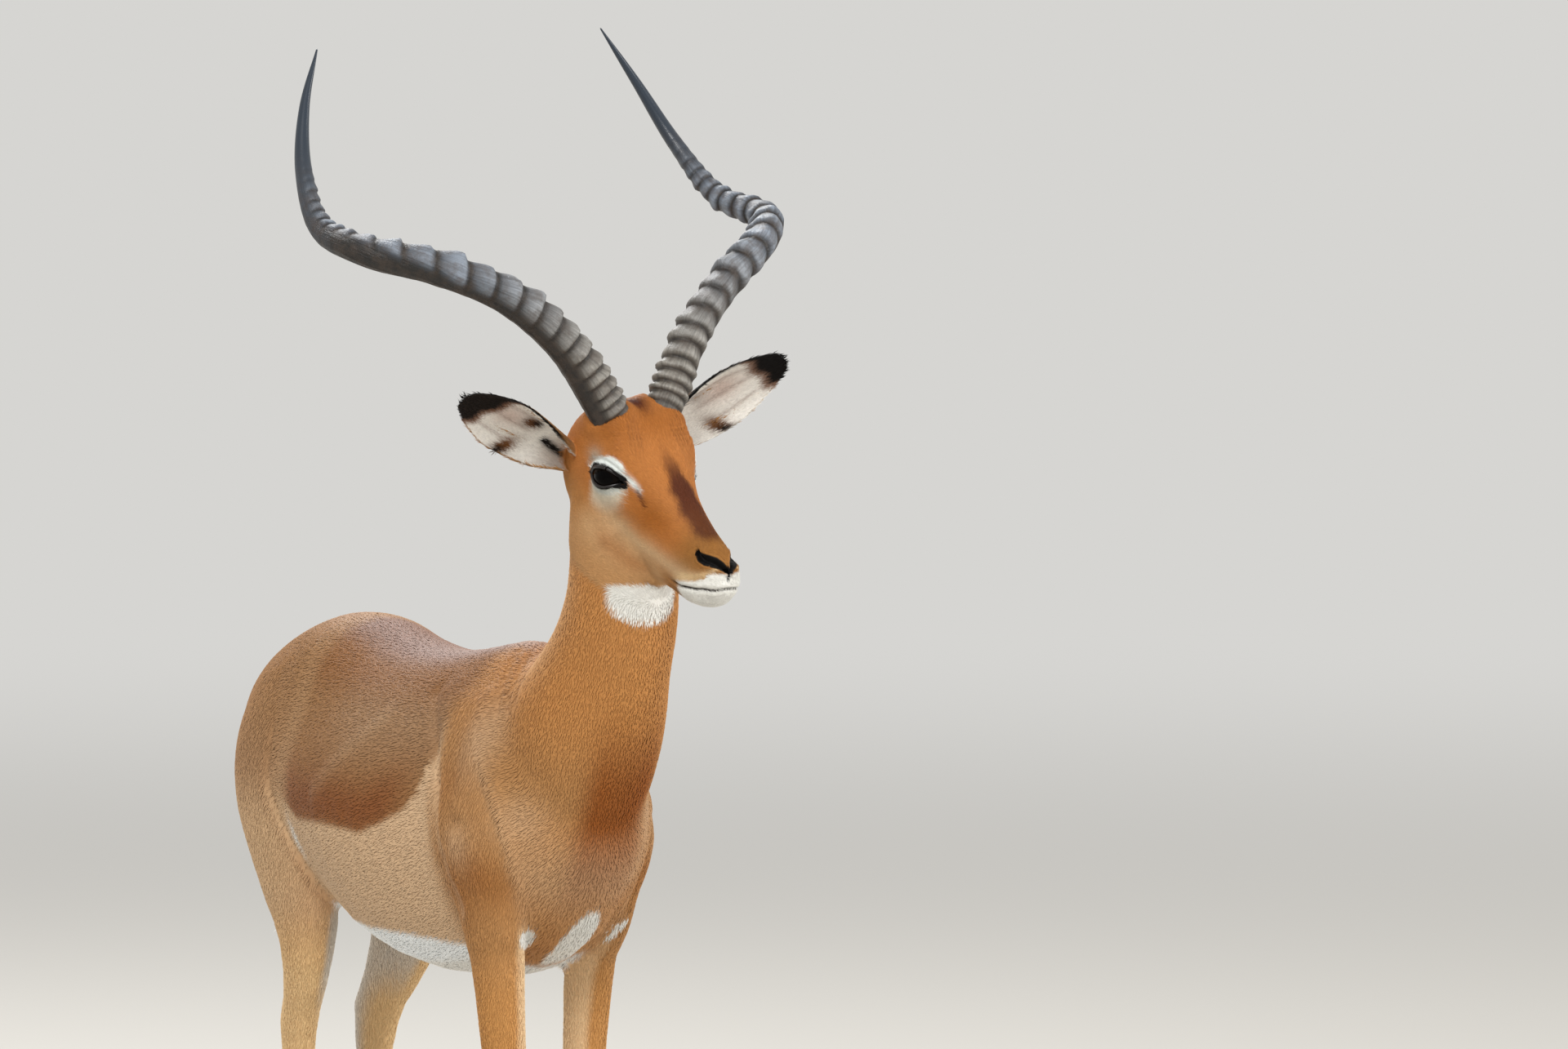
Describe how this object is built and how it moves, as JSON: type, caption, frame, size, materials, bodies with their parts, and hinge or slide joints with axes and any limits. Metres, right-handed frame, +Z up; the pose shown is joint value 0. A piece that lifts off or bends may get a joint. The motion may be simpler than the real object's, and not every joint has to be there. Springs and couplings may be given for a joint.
{
  "type": "impala model",
  "caption": "Life-size male antelope with long ringed lyre-shaped horns, standing square with raised head turned to its left, as a museum model.",
  "frame": {"origin": "on the floor, under the middle of the bounding box", "axes": "+X the way the body faces, +Y the animal's left, +Z up"},
  "size_m": [1.1584, 0.5968, 1.591],
  "materials": {
    "coat": "short glossy fur",
    "eye": "wet gloss",
    "horn": "ringed horn, smoother at the tip",
    "hoof": "smooth dark horn"
  },
  "bodies": {
    "root": {"ear_left": "coat", "ear_right": "coat", "eye_left": "eye", "eye_right": "eye", "foreleg_lower_left": "coat", "foreleg_lower_right": "coat", "foreleg_upper_left": "coat", "foreleg_upper_right": "coat", "head": "coat", "hindleg_lower_left": "coat", "hindleg_lower_right": "coat", "hindleg_upper_left": "coat", "hindleg_upper_right": "coat", "hoof_fore_left_inner": "hoof", "hoof_fore_left_outer": "hoof", "hoof_fore_right_inner": "hoof", "hoof_fore_right_outer": "hoof", "hoof_hind_left_inner": "hoof", "hoof_hind_left_outer": "hoof", "hoof_hind_right_inner": "hoof", "hoof_hind_right_outer": "hoof", "horn_left": "horn", "horn_right": "horn", "jaw": "coat", "neck": "coat", "tail": "coat", "trunk": "coat"}
  },
  "joints": []
}
